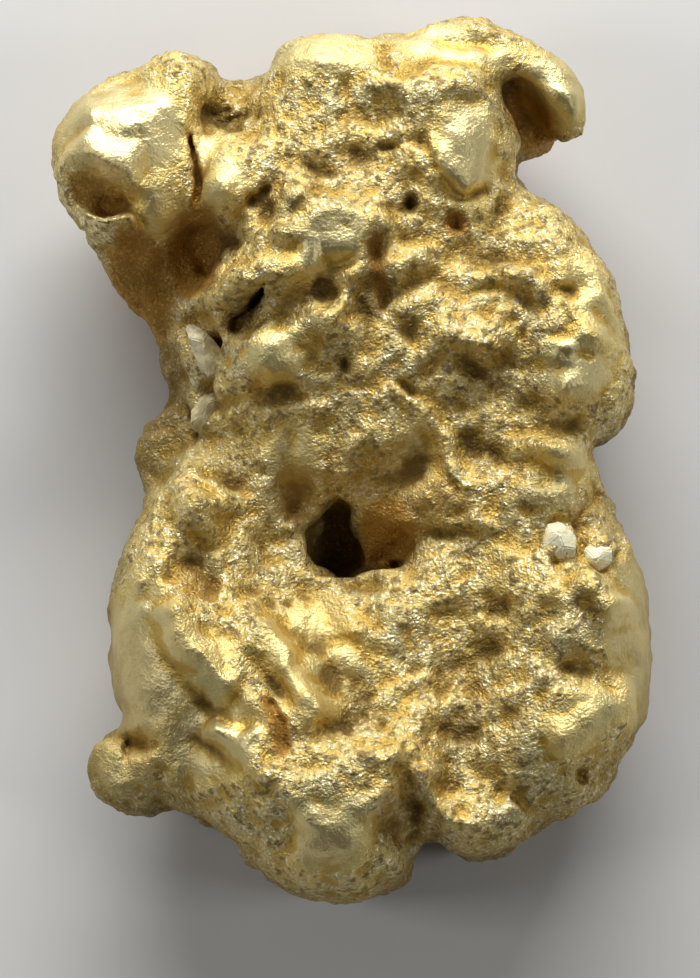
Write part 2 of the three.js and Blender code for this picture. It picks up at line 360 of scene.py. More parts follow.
# Forehead: a high bar above a pitted, sunken field
ridge([(0.2, 20.4), (2.4, 19.9), (5.0, 20.1), (7.8, 20.4)], 1.2, 0.9)
mound(-0.1, 19.9, 1.1, 1.5, -0.4)
ridge([(2.2, 19.2), (3.6, 18.6), (5.0, 19.6)], 1.0, 0.4)
mound(0.4, 18.0, 3.0, 1.2, -0.4, 4)
mound(-0.4, 15.7, 3.0, 1.2, -0.5, 4)
mound(-1.0, 13.7, 2.4, 1.5, 0.7)
mound(2.6, 12.0, 1.4, 1.0, 0.6)
ridge([(0.9, 16.3), (1.8, 16.6), (2.6, 16.4)], 0.4, -0.6)
mound(3.4, 16.6, 1.0, 0.8, -0.4)
mound(-2.9, 15.6, 0.9, 0.7, -0.4)
# Crest, rolled over a shallow groove
ridge([(4.2, 22.6), (6.4, 23.2), (8.2, 22.8)], 0.9, -0.6)
mound(4.9, 20.9, 1.4, 0.8, 0.5)
mound(6.2, 21.1, 1.6, 0.6, 0.4, -8)
ridge([(7.4, 19.9), (7.9, 18.6)], 0.5, 0.3)
# Tongue of the forehead and the pits at its tip
lip([(4.0, 18.2), (4.3, 16.2), (5.2, 14.5), (6.5, 14.1), (7.6, 15.0)], 0.3, 1.2, 0.5, 0.9)
mound(3.2, 13.1, 0.45, 0.6, -0.9)
mound(5.6, 12.4, 0.7, 0.6, -0.9)
mound(2.8, 10.0, 2.4, 1.3, 1.3, 20)
ridge([(4.2, 14.0), (6.0, 13.8), (8.2, 14.4)], 1.1, -0.4)
tell("forehead and crest")

# %% [markdown]
# ## The curl
# A thick finger of gold hooks over at the right end of the crest. Its body and the gap under it are
# in the block already. What is left is the bright back of the hook and a bar at its root.

# %% Strokes of the curl
ridge([(8.4, 21.3), (10.2, 20.7), (11.8, 19.8), (12.6, 18.7)], 1.0, 0.6)
ridge([(12.3, 19.4), (12.2, 18.2), (11.8, 17.4)], 0.5, 0.3)
mound(8.9, 16.8, 1.3, 1.6, 0.6)
ridge([(9.0, 16.8), (9.6, 17.5)], 0.5, 0.3)

tell("curl")

# %% [markdown]
# ## The fold across the chest
# One fold of gold laps across the chest. It has a steep upper flank, a smooth back and a crevice
# that undercuts its left half. A broad ridge makes the body of it; wide, low mounds below tilt the
# metal so that the light from the upper end catches it as it should.

# %% Strokes of the fold
ridge([(-4.4, 13.4), (-3.0, 12.8), (-1.4, 12.0), (0.4, 11.9), (2.2, 12.5)], 2.3, 1.6, ends=0.12)
mound(-3.0, 13.6, 0.8, 0.7, 0.4)
mound(-1.6, 10.9, 2.4, 1.3, 0.4, 15)
mound(-1.4, 6.6, 2.4, 2.0, 0.9)
mound(-0.8, 9.5, 1.5, 1.1, 0.8)
mound(-7.0, 8.8, 2.4, 1.0, 0.5)
mound(3.4, 7.7, 1.8, 1.0, 0.5)
ridge([(-8.4, 8.2), (-7.0, 8.6), (-5.4, 9.0), (-3.6, 9.6), (-2.0, 10.6)], 1.3, 1.1, ends=0.1)
mound(-8.9, 8.6, 1.2, 1.0, 1.0)
ridge([(-4.6, 13.2), (-3.4, 14.1), (-2.2, 14.2)], 1.1, 0.9)
mound(-7.4, 9.6, 0.7, 0.5, 0.3, 20)
mound(-6.1, 9.5, 0.6, 0.4, 0.25)
ridge([(-7.2, 6.7), (-6.0, 7.2), (-4.8, 8.0), (-4.0, 8.4)], 0.8, -1.2, ends=0.3)
tell("fold")

# %% [markdown]
# ## The middle of the chest
# Below the crevice lies a worn mound with a bright upper rim. Right of it a crease runs down the
# middle, and beyond the crease the metal is spongy. The sponge itself is grown later, by the block's
# roughening, so the strokes only give it broad ups and downs to grow on.

# %% Strokes of the middle of the chest
# Mound below the crevice with its bright upper rim
mound(-4.4, 5.0, 2.3, 1.7, 0.95, 25)
ridge([(-6.7, 6.2), (-5.7, 5.7), (-4.7, 6.2), (-3.8, 7.2)], 0.45, 0.4)
mound(-6.9, 6.7, 0.35, 0.5, 0.4)
mound(-4.0, 2.9, 2.0, 0.8, -0.6, 5)
mound(-5.4, 3.4, 0.7, 0.4, -0.3)
mound(-0.5, 4.8, 0.4, 0.5, -0.8)
mound(0.6, 4.6, 0.8, 0.7, 0.5)
mound(0.4, 0.9, 0.8, 0.8, -0.4)
mound(-1.6, 3.9, 0.5, 0.4, 0.3)
# Central crease and the spongy field right of it
ridge([(1.7, 11.6), (1.5, 10.0), (1.7, 8.4), (1.5, 7.2)], 0.45, -0.7, sharp=True)
ridge([(-2.8, 6.4), (-1.5, 7.0), (-0.6, 8.3), (0.4, 9.9), (1.0, 11.2)], 1.0, 1.1)
ridge([(4.2, 6.6), (5.8, 5.7), (7.2, 5.2), (8.6, 5.6)], 1.3, 0.7)
mound(6.6, 8.6, 2.2, 0.9, -0.45, 8)
ridge([(7.4, 6.2), (8.0, 7.2), (8.6, 7.6)], 0.6, 0.4)
mound(6.2, 3.9, 1.7, 0.7, -0.4, -12)
mound(3.2, 6.0, 1.6, 1.2, -0.35, -20)
mound(7.7, 9.4, 1.6, 1.0, 0.5, 10)
mound(3.2, 3.1, 1.0, 0.6, -0.5, -30)
mound(5.2, 9.6, 1.4, 0.8, 0.2)
tell("chest")

# %% [markdown]
# ## The right shoulder
# The shoulder is a cluster of worn lumps round an oval plate, with small bars and pits between
# them. Lumps this worn are plain domes, so mounds suit them, and a few thin ridges mark their rims.

# %% Strokes of the right shoulder
mound(10.7, 13.5, 0.5, 0.5, 0.4)
mound(10.0, 12.2, 1.5, 0.9, -0.4, 10)
mound(10.6, 12.9, 0.9, 0.5, 0.3)
ridge([(7.4, 9.8), (8.8, 9.3), (10.2, 8.8), (11.4, 8.4)], 1.1, 0.9)
ridge([(8.2, 11.6), (9.4, 11.5), (10.8, 11.0), (11.6, 10.3)], 0.35, 0.25)
mound(12.0, 8.9, 1.4, 0.8, -0.45, -40)
mound(11.8, 4.0, 2.4, 1.8, 0.5, -5)
mound(9.0, 9.4, 1.5, 1.2, 0.6)
mound(11.5, -0.1, 2.4, 1.4, 1.0)
mound(12.0, 8.3, 1.4, 0.8, -0.8, -10)
mound(10.3, 9.7, 1.0, 0.5, 0.4)
mound(7.6, 7.6, 1.0, 0.7, -0.5)
ridge([(12.8, 11.2), (13.8, 9.2), (14.6, 6.6), (14.9, 4.8)], 0.35, 0.3)
ridge([(12.1, 10.2), (13.1, 8.4), (13.9, 6.4)], 0.3, -0.3)
mound(11.4, 5.2, 1.5, 0.8, 0.7, 10)
mound(12.9, 6.1, 1.2, 0.9, 0.8, 10)
mound(12.1, 3.0, 1.7, 1.3, 0.6, 5)
ridge([(10.6, 5.6), (11.3, 5.0), (12.6, 5.1), (13.4, 4.6)], 0.35, -0.35)
mound(14.4, 2.6, 0.7, 1.0, 0.35)
mound(9.6, 1.8, 3.0, 2.6, 1.0)
mound(7.9, 6.0, 1.6, 1.3, 0.6)
mound(7.4, 1.3, 1.7, 1.5, 0.6)
mound(9.8, 7.7, 0.4, 0.5, -0.3, 20)
mound(9.3, 5.9, 0.4, 0.6, -0.35, -10)
mound(8.9, 7.0, 0.3, 0.35, -0.3)
ridge([(11.5, 5.6), (11.6, 4.6)], 0.25, -0.3)

tell("shoulder")

# %% [markdown]
# ## The funnel above the hole
# A funnel leads into the deep hole in the lower half: a vault on its right, and a rough tongue that
# runs down into the hole. The wide mounds come first. They set how the whole lower half slopes,
# and the smaller strokes ride on them.

# %% Strokes of the funnel
# Broad slopes of the lower half
mound(0.8, -4.4, 6.4, 5.6, -1.2)
mound(-3.2, -7.0, 6.4, 6.0, -1.5)
mound(-3.0, -19.0, 6.4, 7.4, 1.0)
mound(-1.0, -21.0, 7.0, 8.0, 1.5)
mound(5.8, -12.4, 5.8, 7.4, -1.3)
mound(6.2, -2.6, 4.0, 2.8, 0.9)
# Vault, tongue and the flutes beside the hole
ridge([(1.2, 2.4), (2.6, 2.9), (4.0, 1.6), (5.2, -0.2), (6.2, -2.2)], 0.8, 0.6)
mound(3.1, -1.6, 2.2, 2.6, -0.7, -15)
ridge([(3.4, -1.4), (4.5, -2.6), (5.6, -3.6)], 1.3, 0.4)
mound(4.6, -4.6, 1.6, 0.8, -0.5, -15)
ridge([(1.3, 1.6), (0.5, 0.2), (-0.4, -1.2), (-0.9, -2.2)], 1.4, 0.7)
mound(-3.3, -2.4, 1.6, 3.0, -1.1, 5)
ridge([(-4.6, 1.7), (-2.8, 2.2), (-1.0, 2.1)], 0.6, 0.3)
mound(4.6, -3.2, 1.5, 0.8, -0.5, -10)
mound(6.6, -4.2, 1.4, 0.8, 0.6, -10)
mound(-1.8, -7.0, 1.3, 0.6, 0.6)
mound(3.0, -7.6, 1.6, 0.9, 0.15)
mound(-4.4, -5.0, 1.5, 0.9, -0.6)
tell("funnel")

# %% [markdown]
# ## The waist
# The nugget is narrowest above the hole. On the right, bands of gold cross the waist side by side.
# On the left are small lumps, and a pale edge that rolls over onto the haunch. Bands are ridges and lumps
# are mounds, each placed one by one, because a pattern made by rule would show.

# %% Strokes of the waist
# Bands of the right waist
ridge([(7.6, 0.0), (9.6, -0.1), (11.4, -0.4), (13.2, -0.4)], 1.0, 0.9)
ridge([(8.2, -2.2), (9.6, -2.5), (11.0, -2.2), (12.4, -1.4)], 0.8, 0.45)
mound(11.2, -0.5, 1.6, 1.1, 0.6)
mound(13.9, -5.9, 1.4, 1.0, -0.7)
ridge([(13.5, -0.8), (13.0, -2.6), (12.4, -4.2)], 0.35, -0.6)
mound(12.2, -4.2, 1.6, 0.8, -0.5, -20)
# Left waist: small lumps, and the pale edge that rolls over the haunch
mound(-10.0, 6.5, 0.6, 0.7, 0.45)
mound(-10.1, 5.1, 0.5, 0.5, 0.35)
ridge([(-8.3, 1.4), (-9.2, -0.2), (-10.4, -1.8), (-11.4, -3.2)], 0.5, 0.5)
mound(-7.4, 1.7, 1.4, 1.2, 1.0)
mound(-9.1, -0.8, 1.7, 1.4, 1.0)
mound(-8.6, -3.0, 2.3, 1.9, 1.4, -15)
mound(-9.9, -2.0, 0.5, 0.5, 0.25)
mound(-8.5, -7.1, 2.2, 1.4, -1.3, -4)
mound(-6.7, -2.9, 1.1, 0.9, 0.7)
mound(-7.6, -4.6, 1.1, 0.8, 0.6)
mound(-9.1, -1.3, 0.9, 0.8, 0.6)
mound(-3.6, -4.1, 0.7, 0.5, 0.4)
ridge([(-10.8, -1.6), (-9.2, -2.6), (-7.0, -3.6)], 1.4, 0.7)
mound(-8.4, -5.8, 1.4, 0.9, -0.4)
mound(-11.6, -7.7, 0.4, 0.4, 0.4)
mound(-11.3, -8.9, 0.6, 0.5, 0.35)
tell("waist")

# %% [markdown]
# ## The V ridge
# Two ridges meet like a V below the left haunch. The left arm has a smooth flank outside and a
# trough inside; the lower arm rolls down to the big toe. They are the strongest lines of the lower
# half, so they are drawn before the finer ones.

# %% Strokes of the V ridge
ridge([(-10.0, -8.4), (-9.2, -10.2), (-8.0, -12.2), (-6.4, -13.8)], 1.4, 1.3, ends=0.12)
mound(-10.2, -6.8, 1.0, 0.6, 0.5)
ridge([(-8.2, -7.2), (-7.4, -8.6), (-6.6, -10.0), (-5.8, -11.8)], 1.7, -0.5, ends=0.15)
ridge([(-9.1, -9.7), (-8.0, -11.6), (-6.4, -13.5)], 0.3, 0.3)
ridge([(-8.4, -15.2), (-6.6, -15.9), (-5.0, -17.2), (-3.4, -18.6), (-1.2, -19.9)], 1.4, 1.5, ends=0.1)
ridge([(-4.2, -15.0), (-3.2, -16.2), (-2.0, -17.4), (-0.7, -18.0)], 1.6, -0.6, ends=0.15)
mound(-7.9, -15.0, 2.0, 1.5, 0.5, 10)
mound(-6.0, -14.3, 1.3, 1.1, 0.4)
mound(-5.5, -16.1, 0.5, 0.75, 0.55, 35)
ridge([(-0.2, -19.9), (0.6, -18.8), (1.8, -17.8), (3.2, -17.0)], 0.9, 0.9, ends=0.15)
mound(0.7, -17.6, 1.5, 0.8, 0.6, -4)
tell("V ridge")

# %% [markdown]
# ## The basin
# Inside the V lies a bright basin, with an inner ridge, streaks and an iron-stained slot beside it.
# The basin shines because its floor faces the light, so its floor is tilted, not just sunk.

# %% Strokes of the basin
INNER_RIDGE = [(-6.2, -7.9), (-5.0, -9.8), (-3.8, -11.6), (-2.6, -12.8), (-2.0, -14.2), (-1.0, -15.6)]
ridge(INNER_RIDGE, 1.8, 1.2, ends=0.12)
mound(-2.2, -13.4, 1.6, 1.3, 0.4)
mound(-2.4, -10.6, 3.4, 4.2, 0.6)
ridge([(-5.4, -10.6), (-4.4, -13.0), (-3.4, -15.0)], 1.3, -0.7)
mound(-5.8, -8.4, 1.2, 0.9, 0.4)
ridge([(-5.6, -9.6), (-4.4, -11.6), (-3.2, -13.6), (-1.8, -16.2)], 3.2, 0.8)
ridge([(-5.3, -8.3), (-4.7, -9.5), (-3.6, -10.9), (-2.6, -12.2)], 0.4, 0.45)
mound(-1.8, -8.0, 1.8, 1.2, -0.4, -30)
mound(-1.6, -7.9, 3.2, 1.5, -0.4)
mound(-1.2, -14.2, 2.0, 1.7, 0.8)
mound(-3.2, -8.4, 0.35, 0.4, -0.35)
mound(-0.2, -11.6, 1.5, 0.9, 0.6, -25)
mound(0.5, -9.8, 1.1, 0.7, 0.7, -10)
mound(0.6, -7.4, 1.6, 0.6, -0.9)
ridge([(-4.5, -14.0), (-3.8, -15.4), (-3.0, -17.0)], 0.45, -1.1, ends=0.15, sharp=True)
mound(1.9, -15.2, 0.3, 0.45, -0.5)
ridge([(1.2, -14.4), (2.6, -13.2), (4.2, -12.2)], 0.7, 0.5)
tell("basin")

# %% [markdown]
# ## The belly and the right haunch
# The belly is the roughest field of the nugget, and the haunch right of it is worn. Low ridges and
# dents, turned this way and that, keep the rough field from looking like even noise.

# %% Strokes of the belly and the right haunch
mound(6.6, -8.2, 1.2, 1.0, 0.4)
mound(7.4, -10.6, 1.6, 1.2, -0.45)
mound(10.4, -9.4, 1.3, 0.9, -0.4, 20)
mound(4.6, -9.2, 1.4, 0.9, -0.35)
ridge([(12.0, -7.4), (13.6, -8.2), (14.9, -9.4)], 1.1, 1.2)
mound(15.0, -8.7, 0.7, 0.6, 0.3)
mound(11.4, -11.8, 2.2, 1.3, -0.6)
mound(14.6, -9.4, 1.6, 1.2, 0.7)
mound(11.2, -8.4, 1.2, 0.7, 0.4, -10)
mound(11.8, -13.9, 1.5, 0.8, 0.5, 10)
ridge([(16.2, -11.6), (14.6, -12.2), (12.6, -12.4), (10.8, -12.2)], 1.5, -0.5)
ridge([(7.8, -8.2), (9.0, -10.0), (10.6, -11.6)], 1.5, -0.45)
ridge([(15.8, -13.8), (14.2, -14.7), (12.4, -15.7), (10.4, -16.9)], 1.8, 1.1)
mound(12.5, -18.1, 0.6, 0.7, -0.8, 20)
mound(5.0, -15.8, 2.4, 1.6, -0.6, 10)
mound(8.6, -14.0, 1.3, 1.0, 0.3, 20)
ridge([(4.4, -20.4), (6.0, -20.9), (7.8, -20.8), (9.4, -20.0)], 1.7, 1.8, ends=0.1)
mound(5.4, -19.6, 3.0, 2.2, 1.5)
mound(0.7, -18.9, 2.0, 1.8, 1.1)
ridge([(3.9, -17.4), (4.3, -19.2), (4.5, -21.0)], 1.3, 1.2)
mound(2.4, -22.8, 1.2, 1.4, 0.6)
mound(-1.4, -20.4, 1.8, 1.4, 0.7)
tell("belly and haunch")

# %% [markdown]
# ## The toes
# The lump ends in a big toe and a little one, with a pitted pocket between the big toe and the
# haunch. The little toe has a crack across it, which is a sharp groove.

# %% Strokes of the toes
mound(-0.9, -21.2, 2.6, 2.0, 0.7)
mound(-3.6, -22.0, 1.3, 1.0, -0.25)
mound(2.1, -21.2, 1.1, 1.5, -0.6)
mound(1.6, -19.8, 0.6, 0.7, -0.5)
mound(2.4, -23.1, 0.7, 0.4, 0.35)
mound(0.5, -24.2, 0.8, 0.5, 0.25)
ridge([(3.4, -19.0), (3.9, -20.4), (3.5, -21.8)], 0.5, 0.4)
ridge([(-12.6, -14.9), (-12.5, -16.2), (-12.3, -17.2)], 0.3, -0.8, sharp=True)
mound(-11.9, -15.8, 1.7, 0.9, -1.3)
mound(-13.0, -18.4, 1.1, 0.9, 0.35)
tell("toes")

# %% [markdown]
# ## Rough metal and worn metal
# High, exposed places are burnished smooth, and sheltered ones keep the spongy skin the gold grew
# with. Soft ellipses mark where the metal is worn, and everything else counts as rough. The mask
# is used twice: for the relief here, and for the finish of the surface later.

# %% Where the gold is worn
WORN_PLACES = [
    # x, y, half_x, half_y, turn, how worn
    (-12.8, 17.9, 4.4, 3.8, 0, 0.85),
    (-11.0, 13.4, 1.6, 1.8, 0, 0.7),
    (-1.6, 22.2, 3.6, 1.6, 0, 0.5),
    (5.6, 22.8, 4.2, 1.3, -8, 0.6),
    (11.2, 20.4, 2.8, 2.2, -35, 0.85),
    (6.2, 16.4, 2.0, 3.6, -6, 0.8),
    (-1.4, 11.2, 3.0, 1.8, 25, 0.9),
    (-7.2, 14.9, 1.7, 1.3, 0, 0.6),
    (-4.2, 4.7, 2.0, 1.5, 20, 0.6),
    (12.2, 4.2, 2.2, 2.2, 0, 0.8),
    (13.4, 8.0, 1.5, 3.2, 18, 0.5),
    (-3.2, -0.6, 1.5, 2.4, 0, 0.6),
    (3.4, -0.6, 1.8, 1.7, -20, 0.45),
    (11.6, -1.2, 2.2, 1.2, 10, 0.6),
    (16.0, -10.5, 2.4, 6.0, 0, 0.7),
    (-11.8, -11.6, 3.4, 5.0, 0, 0.85),
    (-7.6, -16.0, 3.4, 3.2, 30, 0.75),
    (-1.4, -21.4, 2.8, 2.4, 0, 0.7),
    (-12.8, -17.0, 2.4, 2.0, 0, 0.4),
    (12.6, -15.2, 3.4, 1.8, 35, 0.4),
    (-2.2, -11.6, 3.2, 4.6, 0, 0.5),
    (-8.0, 15.6, 1.3, 3.4, 0, 0.6),
    (-7.9, -11.8, 2.2, 2.6, 0, 0.5),
]


def painted(places, softness):
    """A map of soft ellipses, each as strong as its last number."""
    total = np.zeros(shape[:2], np.float32)
    for x, y, half_x, half_y, turn, amount in places:
        across, along = turned(BENT_X - x, BENT_Y - y, turn)
        inside = 1 - np.hypot(across / half_x, along / half_y)
        total = np.maximum(total, amount * eased(inside / softness))
    return total.astype(np.float32)


worn = painted(WORN_PLACES, softness=0.45)
print("worn share of the map:", round(float(worn.mean()), 3))

# %% [markdown]
# ## Pits and crumbs
# Rough native gold is full of pin pits and of crumbs a third of a millimetre across. Nobody places
# hundreds of them by hand, so a random generator with a fixed seed scatters the same mounds and
# dents that the strokes use, and skips most of those that would land on worn metal.

# %% Scatter pits and crumbs
ROUGH_RNG = np.random.default_rng(11)


def scatter(count, sizes, heights):
    """Small mounds or dents at random places, most where the metal isn't worn."""
    for _ in range(count):
        x, y = ROUGH_RNG.uniform(LOW[:2], HIGH[:2])
        size, stretch = ROUGH_RNG.uniform(*sizes), ROUGH_RNG.uniform(0.5, 1.0)
        height, turn = ROUGH_RNG.uniform(*heights), ROUGH_RNG.uniform(0, 180)
        i, j = np.searchsorted(X, x), np.searchsorted(Y, y)
        roughness = 1 - worn[min(i, shape[0] - 1), min(j, shape[1] - 1)]
        if ROUGH_RNG.random() < roughness**1.5:
            mound(x, y, size, size * stretch, height, turn)


scatter(count=150, sizes=(0.2, 0.4), heights=(-0.35, -0.15))
scatter(count=700, sizes=(0.28, 0.5), heights=(0.06, 0.16))
tell("pits and crumbs")

# %% [markdown]
# ## Push the block by the map
# Each column of voxels is slid up or down by its rise. A Displace modifier could push a mesh in the
# same way, but would stretch its faces; voxels stay even. The slide fades out towards the back, so
# that the flat which the nugget rests on stays where it is. A soft ceiling holds the highest
# crests down to the height of the construction model.

# %% Slide the columns
SLIDE_FROM, SLIDE_FULL = 2.5, 7.5  # heights in mm between which the slide sets in
BROAD_SIZE = 2.5  # mm, the blur that leaves only the broad swells
BROAD_CEILING, BROAD_SOFTNESS = 12.3, 0.4
TOP_CEILING, TOP_SOFTNESS = 13.28, 0.12
RISE_BLUR = 0.12


def slid(block, rise):
    """The block with each column's upper part moved up by its rise, in mm."""
    share = eased((Z - SLIDE_FROM) / (SLIDE_FULL - SLIDE_FROM)).astype(np.float32)
    source = np.arange(shape[2]) - rise[:, :, None] * share / VOXEL
    source = np.clip(source, 0, shape[2] - 1.001)
    lower = source.astype(np.int32)
    part = (source - lower).astype(np.float32)
    below = np.take_along_axis(block, lower, 2)
    above = np.take_along_axis(block, lower + 1, 2)
    return below + part * (above - below)


def soft_part_over(values, limit, softness):
    """How far values stand above a limit, with the bend rounded."""
    return softness * np.logaddexp(0, (values - limit) / softness)


top = np.where(gold < 0, Z[None, None, :], 0).max(2)
broad = blurred(top + rises, BROAD_SIZE)
rises = rises - soft_part_over(broad, BROAD_CEILING, BROAD_SOFTNESS)
rises = rises - soft_part_over(top + rises, TOP_CEILING, TOP_SOFTNESS)
rises = rises.astype(np.float32)
gold = slid(gold, blurred(rises, RISE_BLUR))
print("solid voxels after the slide:", int((gold < 0).sum()))

# %% [markdown]
# ## Deep cuts
# A map can't hold an overhang, so the crack, the pocket, the scoop and the hole are cut from the
# block itself, as ellipsoids and as upright slots. Boolean modifiers would leave knife-sharp rims;
# on distances a cut is the larger of two numbers, and a little extra near the rim rounds it.

# %% Cut the crack, the pockets and the hole
RIM_ROOM = 0.4  # mm of map round an ellipsoid
SLOT_ROOM = 0.6  # mm of map round a slot
TINY = 1e-6


def cut_block(distance, place, blend):
    """Takes a shape away, with its rim rounded over a width of blend."""
    here = gold[place]
    overlap = np.clip(blend - np.abs(here + distance), 0, None)
    gold[place] = np.maximum(here, -distance) + overlap**2 / (4 * blend)


def cut_ellipsoid(x, y, z, half_x, half_y, half_z, turn=0, blend=0.25):
    """Cuts an ellipsoid, by an estimate of the distance to it."""
    place, u, v = around([(x, y)], max(half_x, half_y) + RIM_ROOM)
    a, b = turned(u - x, v - y, turn)
    a, b = (a / half_x)[:, :, None], (b / half_y)[:, :, None]
    d = ((Z - z) / half_z)[None, None, :]
    reach = np.sqrt(a * a + b * b + d * d) + TINY
    slope = np.sqrt((a / half_x) ** 2 + (b / half_y) ** 2 + (d / half_z) ** 2) + TINY
    cut_block((reach * (reach - 1) / slope).astype(np.float32), place, blend)


def cut_slot(points, half_width, bottom, blend=0.2):
    """Cuts an upright slot along a line, down to the height bottom."""
    points = curved(points)
    place, u, v = around(points, half_width + SLOT_ROOM)
    distance = nearest(points, u, v)[0][:, :, None] - half_width
    cut_block(np.maximum(distance, bottom - Z[None, None, :]).astype(np.float32), place, blend)


# Crack beside the ball, and the pocket at its foot
cut_slot([(-9.0, 17.8), (-8.95, 16.0), (-9.0, 14.4), (-9.1, 12.4)], half_width=0.22, bottom=10.2)
cut_ellipsoid(-8.8, 11.2, 11.0, 1.3, 1.9, 2.1, -8)
# Holes in the torn neck
cut_ellipsoid(-8.2, 19.5, 10.6, 0.4, 0.4, 1.2)
cut_ellipsoid(-7.5, 18.2, 10.4, 0.8, 0.35, 1.0, 15)
# Scoop under the curl
cut_ellipsoid(9.7, 19.3, 10.0, 1.15, 2.2, 3.0, 35)
cut_ellipsoid(10.8, 17.9, 9.6, 0.9, 1.1, 2.6, 45)
# Deep hole, and the shallower well and ledge on its right
cut_ellipsoid(-0.9, -4.4, 9.0, 1.15, 1.85, 5.2, -12)
cut_ellipsoid(-1.5, -5.1, 9.4, 1.4, 0.65, 4.6, 5)
cut_ellipsoid(2.6, -5.7, 9.6, 0.9, 0.6, 4.4)
cut_ellipsoid(1.4, -4.9, 11.0, 1.8, 1.6, 3.4)
# Crevice under the fold
cut_slot([(-6.6, 6.9), (-5.4, 7.7), (-4.4, 8.6)], half_width=0.25, bottom=9.4)
print("solid voxels after the cuts:", int((gold < 0).sum()))

# %% [markdown]
# ## Gold packed round the quartz
# The four quartz grains sit deep in the gold, which grew round them. The construction model leaves
# a clear gap round each one, so the gap is filled here and only the grains' tops stay bare. Filling
# is cutting turned round: the smaller of two distances.

# %% Close the seats of the grains
SEAT_ROOM = 0.5  # mm by which the filling is larger than the grain
SEAT_SUNK = 0.6  # mm by which it lies lower
SEAT_BLEND = 0.3
GRAINS = ["quartz_grain_large", "quartz_grain_small", "quartz_sliver_upper", "quartz_sliver_lower"]


def fill_block(distance, place, blend):
    """Adds a shape, with its foot rounded over a width of blend."""
    here = gold[place]
    overlap = np.clip(blend - np.abs(here - distance), 0, None)
    gold[place] = np.minimum(here, distance) - overlap**2 / (4 * blend)


for name in GRAINS:
    low, high = (np.array(corner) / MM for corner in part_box(name))
    middle, half = (low + high) / 2, (high - low) / 2 + SEAT_ROOM
    place, u, v = around([middle[:2]], half.max() + RIM_ROOM)
    a, b = ((u - middle[0]) / half[0])[:, :, None], ((v - middle[1]) / half[1])[:, :, None]
    d = ((Z - middle[2] + SEAT_SUNK) / half[2])[None, None, :]
    distance = (np.sqrt(a * a + b * b + d * d) - 1) * half.min()
    fill_block(distance.astype(np.float32), place, SEAT_BLEND)
print("solid voxels after filling:", int((gold < 0).sum()))

# %% [markdown]
# ## The spongy skin
# Native gold has a skin of crumbs and creases. Smooth random blocks at three sizes give it: their
# absolute value makes round lumps with sharp creases between them, like the head of a cauliflower.
# Worn places get only a trace of it. The sides, which no stroke reaches, get the most, and the
# back is cut flat where the nugget rests.

# %% Roughen the block
SIDE_TOP, SIDE_FADE = 9.0, 3.0  # mm: the sides start below this height, and fade in over this much
MASK_BLUR = 0.5  # mm over which worn metal turns rough
USUAL = 0.8  # about the mean of the absolute value of a random block


def creased(spacing, seed):
    """Round lumps with sharp creases between them, about a spacing apart in mm."""
    return np.abs(random_block(spacing, seed, shape)) - USUAL


rough = blurred(1 - worn, MASK_BLUR)[:, :, None]
lumps = creased(2.2, 1)
crumbs = creased(1.1, 2)
specks = random_block(0.6, 3, shape)
gold -= rough * (0.06 * lumps + 0.07 * crumbs + 0.06 * specks)
gold -= 0.03 * lumps + 0.02 * specks
side = eased((SIDE_TOP - Z) / SIDE_FADE)[None, None, :]
gold -= side * (0.12 * lumps + 0.08 * crumbs)
gold = np.maximum(gold, -Z[None, None, :]).astype(np.float32)
print("solid voxels after roughening:", int((gold < 0).sum()))

# %% [markdown]
# ## From the block to a mesh
# The surface is where the distance is zero. A Volume to Mesh modifier could trace it, but OpenVDB
# does it straight from the block, as quads, without a volume object in between. Small crumbs that
# float free are dropped, so that the piece stays one closed skin.

# %% Trace the surface
def traced(block):
    """The surface of the block: corners in mm and quads."""
    grid = vdb.FloatGrid(background=float(BAND * VOXEL))
    grid.copyFromArray(block)
    points, quads = grid.convertToQuads(isovalue=0.0)
    return points * VOXEL + VOXEL * first_voxel, quads


def largest_part(points, quads):
    """Keeps the connected part with most corners."""
    label = np.arange(len(points))
    edges = np.concatenate([quads[:, [0, 1]], quads[:, [1, 2]], quads[:, [2, 3]], quads[:, [3, 0]]])
    while True:
        lowest = np.minimum(label[edges[:, 0]], label[edges[:, 1]])
        new = label.copy()
        np.minimum.at(new, edges[:, 0], lowest)
        np.minimum.at(new, edges[:, 1], lowest)
        new = new[new]
        if (new == label).all():
            break
        label = new
    keep = label == np.bincount(label).argmax()
    number = np.cumsum(keep) - 1
    return points[keep], number[quads[keep[quads[:, 0]]]]


points, quads = largest_part(*traced(gold))
skin = bpy.data.meshes.new("nugget_skin")
skin.from_pydata((points * MM).tolist(), [], quads.tolist())
skin.update()
nugget = bpy.data.objects.new("nugget_skin", skin)
bpy.context.scene.collection.objects.link(nugget)
print("quads:", len(quads))

# %% [markdown]
# ## Read the block at the skin
# Later steps ask what the block or a map holds where a corner of the mesh lies, for instance how
# worn the metal is there. The answer is blended between the nearest voxels and stored on the mesh
# as an attribute, which both Geometry Nodes and materials can read.

# %% Sample a block or a map at the corners of a mesh
def corners_of(mesh):
    """The mesh's corners, in mm."""
    flat = np.empty(len(mesh.vertices) * 3, np.float32)
    mesh.vertices.foreach_get("co", flat)
    return flat.reshape(-1, 3) / MM


def sampled(values, points):
    """Reads a block or a map at points in mm, blending between its voxels."""
    axes = values.ndim
    place = (points[:, :axes] - VOXEL * first_voxel[:axes]) / VOXEL
    place = np.clip(place, 0, np.array(values.shape) - 1.001)
    low = place.astype(int)
    part = place - low
    total = np.zeros(len(points), np.float32)
    for corner in np.ndindex(*(2,) * axes):
        weight = np.prod(np.where(corner, part, 1 - part), axis=1)
        total += weight * values[tuple((low + corner).T)]
    return total


def set_attribute(mesh, name, values):
    layer = mesh.attributes.new(name, "FLOAT", "POINT")
    layer.data.foreach_set("value", np.clip(values, 0, 1).astype(np.float32))


